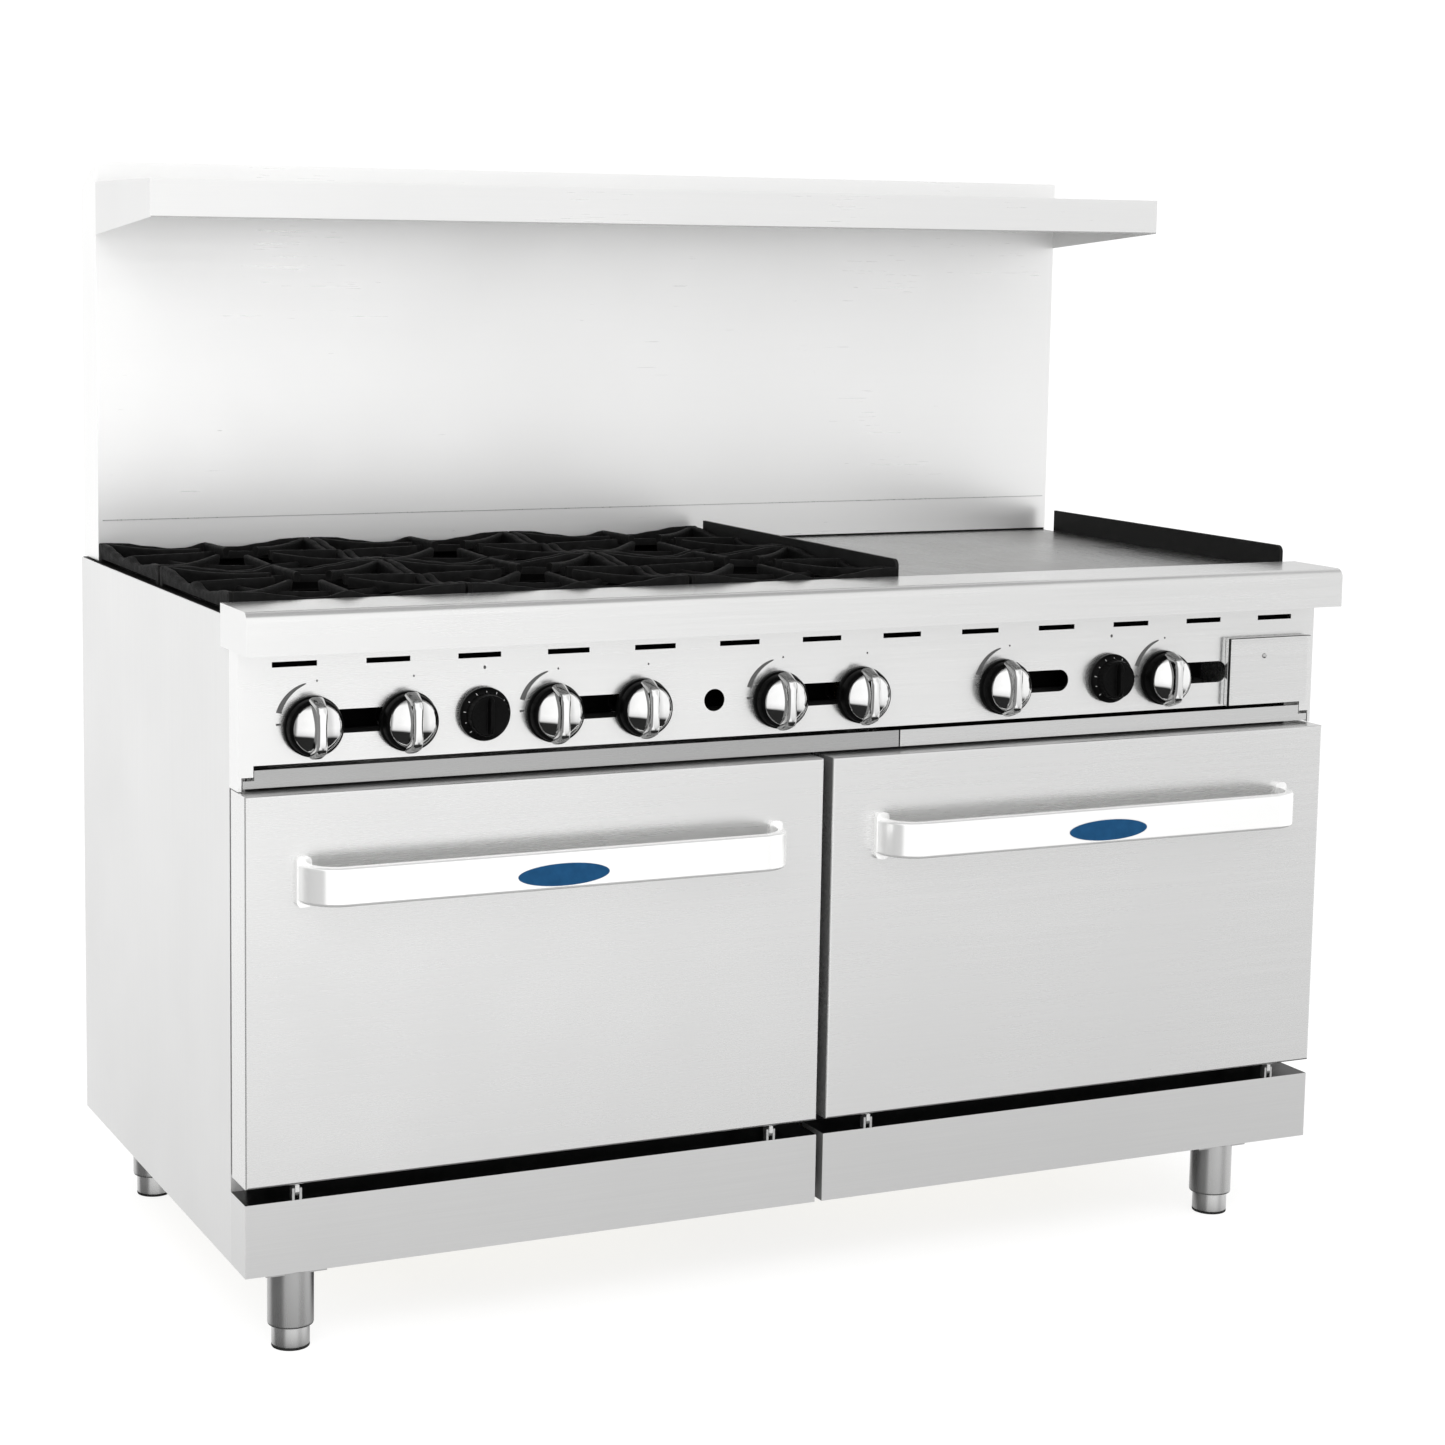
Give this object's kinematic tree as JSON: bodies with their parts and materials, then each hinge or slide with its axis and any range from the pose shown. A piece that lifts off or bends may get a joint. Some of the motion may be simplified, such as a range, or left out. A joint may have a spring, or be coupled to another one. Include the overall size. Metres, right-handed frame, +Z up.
{
  "type": "commercial gas range",
  "caption": "Free-standing stainless restaurant gas range with open burners, a griddle, ovens with drop-down doors, a flue riser and a high shelf.",
  "frame": {"origin": "floor level, under the middle of the whole range's width and depth", "axes": "+X to the right across the front, -Y out of the front towards the cook, +Z up"},
  "size_m": [1.533, 0.845, 1.4174],
  "materials": {
    "steel_panel": "brushed stainless, satin",
    "steel_bright": "brushed stainless, bright satin",
    "galvanised": "galvanised, matt",
    "oven_enamel": "speckled porcelain enamel, glossy",
    "wool": "mineral wool, matt",
    "chrome": "bright chrome plate",
    "knob_black": "black phenolic, satin",
    "knob_chrome": "chrome-plated zinc",
    "cast_iron": "black cast iron, rough",
    "griddle_steel": "ground steel, semi-bright",
    "black_steel": "black heat-proof coat, satin",
    "pipe_black": "black gas pipe",
    "valve_brass": "turned brass",
    "badge_blue": "glossy blue",
    "leg_steel": "satin"
  },
  "bodies": {
    "range_body": {"back_panel": "galvanised", "base_frame": "galvanised", "burner_box": "galvanised", "control_panel": "steel_panel", "front_ledge": "steel_bright", "gas_manifold": "pipe_black", "gas_valves": "valve_brass", "griddle_plate": "griddle_steel", "griddle_splashes": "black_steel", "high_shelf": "steel_panel", "hinge_pins": "black_steel", "kick_plate_left": "steel_panel", "kick_plate_right": "steel_panel", "legs": "leg_steel", "open_burners": "cast_iron", "oven_decks": "oven_enamel", "oven_insulation": "wool", "oven_liner_left": "oven_enamel", "oven_liner_right": "oven_enamel", "riser": "steel_panel", "side_panel_left": "steel_panel", "side_panel_right": "steel_panel", "tube_burners": "black_steel"},
    "door_left": {"door_panel_left": "steel_panel", "door_liner_left": "galvanised", "door_insulation_left": "wool", "door_handle_left": "steel_bright", "handle_badge_left": "badge_blue", "door_hinges_left": "steel_bright"},
    "rack_left": {"oven_rack_left": "chrome"},
    "tray_left": {"crumb_tray_left": "steel_panel"},
    "dial_left": {"oven_dial_left": "knob_black"},
    "knob_griddle_left": {"griddle_knob_left": "knob_chrome"},
    "door_right": {"door_panel_right": "steel_panel", "door_liner_right": "galvanised", "door_insulation_right": "wool", "door_handle_right": "steel_bright", "handle_badge_right": "badge_blue", "door_hinges_right": "steel_bright"},
    "rack_right": {"oven_rack_right": "chrome"},
    "tray_right": {"crumb_tray_right": "steel_panel"},
    "dial_right": {"oven_dial_right": "knob_black"},
    "knob_griddle_right": {"griddle_knob_right": "knob_chrome"},
    "drawer": {"grease_drawer": "steel_panel"},
    "knob_1": {"burner_knob_1": "knob_chrome"},
    "knob_2": {"burner_knob_2": "knob_chrome"},
    "knob_3": {"burner_knob_3": "knob_chrome"},
    "knob_4": {"burner_knob_4": "knob_chrome"},
    "knob_5": {"burner_knob_5": "knob_chrome"},
    "knob_6": {"burner_knob_6": "knob_chrome"},
    "lift_front_left": {"grate_front_left": "cast_iron"},
    "lift_front_centre": {"grate_front_centre": "cast_iron"},
    "lift_front_right": {"grate_front_right": "cast_iron"},
    "lift_rear_left": {"grate_rear_left": "cast_iron"},
    "lift_rear_centre": {"grate_rear_centre": "cast_iron"},
    "lift_rear_right": {"grate_rear_right": "cast_iron"},
    "pad_front_left": {"foot_front_left": "leg_steel"},
    "pad_front_right": {"foot_front_right": "leg_steel"},
    "pad_rear_left": {"foot_rear_left": "leg_steel"},
    "pad_rear_right": {"foot_rear_right": "leg_steel"}
  },
  "joints": [
    {"name": "door_left_hinge", "type": "hinge", "parent": "range_body", "child": "door_left", "pos_m": [0, -0.359, 0.1995], "axis": [1, 0, 0], "range_deg": [0, 90]},
    {"name": "door_right_hinge", "type": "hinge", "parent": "range_body", "child": "door_right", "pos_m": [0, -0.359, 0.1995], "axis": [1, 0, 0], "range_deg": [0, 90]},
    {"name": "knob_1_turn", "type": "hinge", "parent": "range_body", "child": "knob_1", "pos_m": [-0.672, -0.339, 0.751], "axis": [0, -1, 0], "range_deg": [0, 90]},
    {"name": "knob_2_turn", "type": "hinge", "parent": "range_body", "child": "knob_2", "pos_m": [-0.554, -0.339, 0.751], "axis": [0, -1, 0], "range_deg": [0, 90]},
    {"name": "knob_3_turn", "type": "hinge", "parent": "range_body", "child": "knob_3", "pos_m": [-0.3658, -0.339, 0.751], "axis": [0, -1, 0], "range_deg": [0, 90]},
    {"name": "knob_4_turn", "type": "hinge", "parent": "range_body", "child": "knob_4", "pos_m": [-0.2478, -0.339, 0.751], "axis": [0, -1, 0], "range_deg": [0, 90]},
    {"name": "knob_5_turn", "type": "hinge", "parent": "range_body", "child": "knob_5", "pos_m": [-0.0596, -0.339, 0.751], "axis": [0, -1, 0], "range_deg": [0, 90]},
    {"name": "knob_6_turn", "type": "hinge", "parent": "range_body", "child": "knob_6", "pos_m": [0.0584, -0.339, 0.751], "axis": [0, -1, 0], "range_deg": [0, 90]},
    {"name": "knob_griddle_left_turn", "type": "hinge", "parent": "range_body", "child": "knob_griddle_left", "pos_m": [0.268, -0.339, 0.751], "axis": [0, -1, 0], "range_deg": [0, 90]},
    {"name": "knob_griddle_right_turn", "type": "hinge", "parent": "range_body", "child": "knob_griddle_right", "pos_m": [0.517, -0.339, 0.751], "axis": [0, -1, 0], "range_deg": [0, 90]},
    {"name": "dial_left_turn", "type": "hinge", "parent": "range_body", "child": "dial_left", "pos_m": [-0.457, -0.339, 0.7545], "axis": [0, -1, 0], "range_deg": [0, 270]},
    {"name": "dial_right_turn", "type": "hinge", "parent": "range_body", "child": "dial_right", "pos_m": [0.432, -0.339, 0.7545], "axis": [0, -1, 0], "range_deg": [0, 270]},
    {"name": "tray_left_slide", "type": "slide", "parent": "range_body", "child": "tray_left", "axis": [0, -1, 0], "range_m": [0, 0.5]},
    {"name": "rack_left_slide", "type": "slide", "parent": "range_body", "child": "rack_left", "axis": [0, -1, 0], "range_m": [0, 0.04]},
    {"name": "tray_right_slide", "type": "slide", "parent": "range_body", "child": "tray_right", "axis": [0, -1, 0], "range_m": [0, 0.5]},
    {"name": "rack_right_slide", "type": "slide", "parent": "range_body", "child": "rack_right", "axis": [0, -1, 0], "range_m": [0, 0.04]},
    {"name": "drawer_slide", "type": "slide", "parent": "range_body", "child": "drawer", "axis": [0, -1, 0], "range_m": [0, 0.2]},
    {"name": "lift_front_left_off", "type": "slide", "parent": "range_body", "child": "lift_front_left", "axis": [0, 0, 1], "range_m": [0, 0.15]},
    {"name": "lift_front_centre_off", "type": "slide", "parent": "range_body", "child": "lift_front_centre", "axis": [0, 0, 1], "range_m": [0, 0.15]},
    {"name": "lift_front_right_off", "type": "slide", "parent": "range_body", "child": "lift_front_right", "axis": [0, 0, 1], "range_m": [0, 0.15]},
    {"name": "lift_rear_left_off", "type": "slide", "parent": "range_body", "child": "lift_rear_left", "axis": [0, 0, 1], "range_m": [0, 0.15]},
    {"name": "lift_rear_centre_off", "type": "slide", "parent": "range_body", "child": "lift_rear_centre", "axis": [0, 0, 1], "range_m": [0, 0.15]},
    {"name": "lift_rear_right_off", "type": "slide", "parent": "range_body", "child": "lift_rear_right", "axis": [0, 0, 1], "range_m": [0, 0.15]},
    {"name": "pad_front_left_adjust", "type": "slide", "parent": "range_body", "child": "pad_front_left", "axis": [0, 0, -1], "range_m": [0, 0.025]},
    {"name": "pad_front_right_adjust", "type": "slide", "parent": "range_body", "child": "pad_front_right", "axis": [0, 0, -1], "range_m": [0, 0.025]},
    {"name": "pad_rear_left_adjust", "type": "slide", "parent": "range_body", "child": "pad_rear_left", "axis": [0, 0, -1], "range_m": [0, 0.025]},
    {"name": "pad_rear_right_adjust", "type": "slide", "parent": "range_body", "child": "pad_rear_right", "axis": [0, 0, -1], "range_m": [0, 0.025]}
  ]
}
